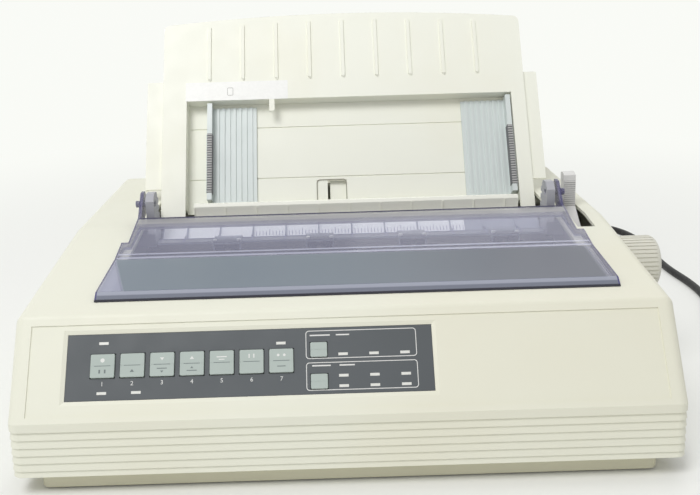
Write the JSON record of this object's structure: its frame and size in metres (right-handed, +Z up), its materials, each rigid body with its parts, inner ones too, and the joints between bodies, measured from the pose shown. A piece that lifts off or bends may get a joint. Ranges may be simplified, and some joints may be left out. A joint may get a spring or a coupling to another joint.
{
  "type": "dot matrix printer",
  "caption": "Desktop impact printer with a smoky hinged access cover, leaning sheet guide, operator panel keys, platen knob, form lever and a mains lead.",
  "frame": {"origin": "on the table under the middle of the body, midway between the left side and the end of the knob", "axes": "+Z up, -Y towards the operator, +X to the operator's right"},
  "size_m": [0.6265, 0.5279, 0.2599],
  "materials": {
    "belt_rubber": "toothed",
    "black_moulding": "moulded",
    "board_green": "lacquered",
    "bracket_grey": "smooth",
    "cord_black": "smooth",
    "core_steel": "varnished",
    "foot_rubber": "moulded",
    "gear_white": "moulded",
    "guide_grey": "smooth",
    "guide_ivory": "fine texture",
    "head_aluminium": "cast",
    "ivory_case": "fine texture",
    "key_grey": "smooth",
    "knob_ivory": "smooth",
    "lamp_window": "clear",
    "lever_grey": "smooth",
    "motor_steel": "black",
    "panel_slate": "smooth",
    "platen_rubber": "ground",
    "roller_rubber": "ground",
    "screw_steel": "zinc plated",
    "shaft_steel": "ground",
    "sheet_steel": "zinc plated sheet",
    "smoky_bail": "tinted, translucent",
    "smoky_cover": "tinted, translucent"
  },
  "bodies": {
    "base": {"upper_case": "ivory_case", "lower_case": "ivory_case", "rubber_feet": "foot_rubber", "case_screws": "screw_steel", "control_panel": "panel_slate", "status_lamps": "lamp_window", "panel_board": "board_green", "hinge_brackets": "bracket_grey", "left_frame": "sheet_steel", "right_frame": "sheet_steel", "chassis_plate": "sheet_steel", "guide_rods": "shaft_steel", "main_board": "board_green", "printer_port": "bracket_grey", "transformer": "core_steel", "inlet_and_switch_frame": "black_moulding", "paper_chute": "black_moulding", "paper_ledge": "guide_ivory", "feed_motor": "motor_steel", "carriage_belt": "belt_rubber", "carriage_motor": "motor_steel", "cord_connector": "cord_black", "power_cord": "cord_black", "power_cord_coil": "cord_black", "power_plug": "cord_black"},
    "cover": {"access_cover": "smoky_cover"},
    "guide": {"sheet_guide": "guide_ivory", "guide_rear_frame": "guide_ivory"},
    "left_guide": {"left_paper_guide": "guide_grey"},
    "right_guide": {"right_paper_guide": "guide_grey"},
    "bail": {"bail_bar": "smoky_bail"},
    "bail_rolls": {"bail_rollers": "roller_rubber"},
    "platen": {"platen_roller": "platen_rubber", "platen_shaft": "shaft_steel", "platen_knob": "knob_ivory", "platen_gear": "gear_white"},
    "idler": {"idler_gear": "gear_white"},
    "pinion": {"feed_pinion": "gear_white"},
    "tractor_idler": {"tractor_idler_gear": "gear_white"},
    "tractor_drive": {"tractor_shaft": "shaft_steel"},
    "pinch": {"pinch_rollers": "roller_rubber"},
    "left_tractor_unit": {"left_tractor": "black_moulding"},
    "right_tractor_unit": {"right_tractor": "black_moulding"},
    "carriage_unit": {"carriage": "black_moulding", "print_head": "head_aluminium", "ribbon_cartridge": "black_moulding"},
    "ribbon_wheel": {"ribbon_knob": "black_moulding"},
    "belt_drive": {"drive_pulley": "gear_white"},
    "belt_idler": {"idler_pulley": "gear_white"},
    "lever": {"form_lever": "lever_grey"},
    "rocker": {"power_switch": "black_moulding"},
    "key_1_cap": {"key_1": "key_grey"},
    "key_2_cap": {"key_2": "key_grey"},
    "key_3_cap": {"key_3": "key_grey"},
    "key_4_cap": {"key_4": "key_grey"},
    "key_5_cap": {"key_5": "key_grey"},
    "key_6_cap": {"key_6": "key_grey"},
    "key_7_cap": {"key_7": "key_grey"},
    "key_8_cap": {"key_8": "key_grey"},
    "key_9_cap": {"key_9": "key_grey"}
  },
  "joints": [
    {"name": "cover_hinge", "type": "hinge", "parent": "base", "child": "cover", "pos_m": [-0.008, 0.0135, 0.1295], "axis": [-1, 0, 0], "range_deg": [0, 100]},
    {"name": "guide_tilt", "type": "hinge", "parent": "base", "child": "guide", "pos_m": [-0.008, 0.0775, 0.106], "axis": [-1, 0, 0], "range_deg": [0, 42]},
    {"name": "left_guide_slide", "type": "slide", "parent": "guide", "child": "left_guide", "axis": [1, 0, 0], "range_m": [-0.015, 0.06]},
    {"name": "right_guide_slide", "type": "slide", "parent": "guide", "child": "right_guide", "axis": [1, 0, 0], "range_m": [-0.06, 0]},
    {"name": "bail_swing", "type": "hinge", "parent": "base", "child": "bail", "pos_m": [-0.008, 0.0365, 0.099], "axis": [-1, 0, 0], "range_deg": [0, 12]},
    {"name": "bail_roller_spin", "type": "hinge", "parent": "bail", "child": "bail_rolls", "pos_m": [-0.008, -0.005, 0.0993], "axis": [1, 0, 0], "continuous": true},
    {"name": "platen_spin", "type": "hinge", "parent": "base", "child": "platen", "pos_m": [-0.008, -0.0155, 0.081], "axis": [1, 0, 0], "continuous": true},
    {"name": "idler_spin", "type": "hinge", "parent": "base", "child": "idler", "pos_m": [-0.008, 0.007, 0.05419], "axis": [1, 0, 0], "continuous": true},
    {"name": "pinion_spin", "type": "hinge", "parent": "base", "child": "pinion", "pos_m": [-0.008, 0.02673, 0.04701], "axis": [1, 0, 0], "continuous": true},
    {"name": "tractor_idler_spin", "type": "hinge", "parent": "base", "child": "tractor_idler", "pos_m": [-0.008, 0.05358, 0.06251], "axis": [1, 0, 0], "continuous": true},
    {"name": "tractor_spin", "type": "hinge", "parent": "base", "child": "tractor_drive", "pos_m": [-0.008, 0.08904, 0.09021], "axis": [1, 0, 0], "continuous": true},
    {"name": "pinch_spin", "type": "hinge", "parent": "base", "child": "pinch", "pos_m": [-0.008, -0.0155, 0.0572], "axis": [1, 0, 0], "continuous": true},
    {"name": "left_tractor_slide", "type": "slide", "parent": "base", "child": "left_tractor_unit", "axis": [1, 0, 0], "range_m": [-0.02, 0.07]},
    {"name": "right_tractor_slide", "type": "slide", "parent": "base", "child": "right_tractor_unit", "axis": [1, 0, 0], "range_m": [-0.07, 0.02]},
    {"name": "carriage_slide", "type": "slide", "parent": "base", "child": "carriage_unit", "axis": [1, 0, 0], "range_m": [-0.007, 0.195]},
    {"name": "ribbon_spin", "type": "hinge", "parent": "carriage_unit", "child": "ribbon_wheel", "pos_m": [-0.146, -0.1025, 0.088], "axis": [0, 0, 1], "continuous": true},
    {"name": "drive_pulley_spin", "type": "hinge", "parent": "base", "child": "belt_drive", "pos_m": [-0.152, -0.0885, 0.053], "axis": [0, 0, 1], "range_deg": [-90, 1440]},
    {"name": "idler_pulley_spin", "type": "hinge", "parent": "base", "child": "belt_idler", "pos_m": [0.134, -0.0885, 0.053], "axis": [0, 0, 1], "range_deg": [-90, 1440]},
    {"name": "form_lever_swing", "type": "hinge", "parent": "base", "child": "lever", "pos_m": [-0.008, -0.0155, 0.081], "axis": [1, 0, 0], "range_deg": [0, 32]},
    {"name": "power_rocker", "type": "hinge", "parent": "base", "child": "rocker", "pos_m": [-0.008, 0.1661, 0.052], "axis": [1, 0, 0], "range_deg": [-16, 0]},
    {"name": "key_1_press", "type": "slide", "parent": "base", "child": "key_1_cap", "axis": [0, 0.8198, -0.5726], "range_m": [0, 0.0008], "stiffness_N_per_m": 300, "springref_m": -0.0005},
    {"name": "key_2_press", "type": "slide", "parent": "base", "child": "key_2_cap", "axis": [0, 0.8198, -0.5726], "range_m": [0, 0.0008], "stiffness_N_per_m": 300, "springref_m": -0.0005},
    {"name": "key_3_press", "type": "slide", "parent": "base", "child": "key_3_cap", "axis": [0, 0.8198, -0.5726], "range_m": [0, 0.0008], "stiffness_N_per_m": 300, "springref_m": -0.0005},
    {"name": "key_4_press", "type": "slide", "parent": "base", "child": "key_4_cap", "axis": [0, 0.8198, -0.5726], "range_m": [0, 0.0008], "stiffness_N_per_m": 300, "springref_m": -0.0005},
    {"name": "key_5_press", "type": "slide", "parent": "base", "child": "key_5_cap", "axis": [0, 0.8198, -0.5726], "range_m": [0, 0.0008], "stiffness_N_per_m": 300, "springref_m": -0.0005},
    {"name": "key_6_press", "type": "slide", "parent": "base", "child": "key_6_cap", "axis": [0, 0.8198, -0.5726], "range_m": [0, 0.0008], "stiffness_N_per_m": 300, "springref_m": -0.0005},
    {"name": "key_7_press", "type": "slide", "parent": "base", "child": "key_7_cap", "axis": [0, 0.8198, -0.5726], "range_m": [0, 0.0008], "stiffness_N_per_m": 300, "springref_m": -0.0005},
    {"name": "key_8_press", "type": "slide", "parent": "base", "child": "key_8_cap", "axis": [0, 0.8198, -0.5726], "range_m": [0, 0.0008], "stiffness_N_per_m": 300, "springref_m": -0.0005},
    {"name": "key_9_press", "type": "slide", "parent": "base", "child": "key_9_cap", "axis": [0, 0.8198, -0.5726], "range_m": [0, 0.0008], "stiffness_N_per_m": 300, "springref_m": -0.0005}
  ],
  "couplings": [
    {"joint": "idler_spin", "follows": "platen_spin", "ratio": -1.3333},
    {"joint": "pinion_spin", "follows": "platen_spin", "ratio": 3.3333},
    {"joint": "tractor_idler_spin", "follows": "platen_spin", "ratio": -0.8},
    {"joint": "tractor_spin", "follows": "platen_spin", "ratio": 1},
    {"joint": "pinch_spin", "follows": "platen_spin", "ratio": -2.9167},
    {"joint": "bail_roller_spin", "follows": "platen_spin", "ratio": -5.4688},
    {"joint": "drive_pulley_spin", "follows": "carriage_slide", "rad_per_m": 125},
    {"joint": "idler_pulley_spin", "follows": "carriage_slide", "rad_per_m": 125}
  ]
}
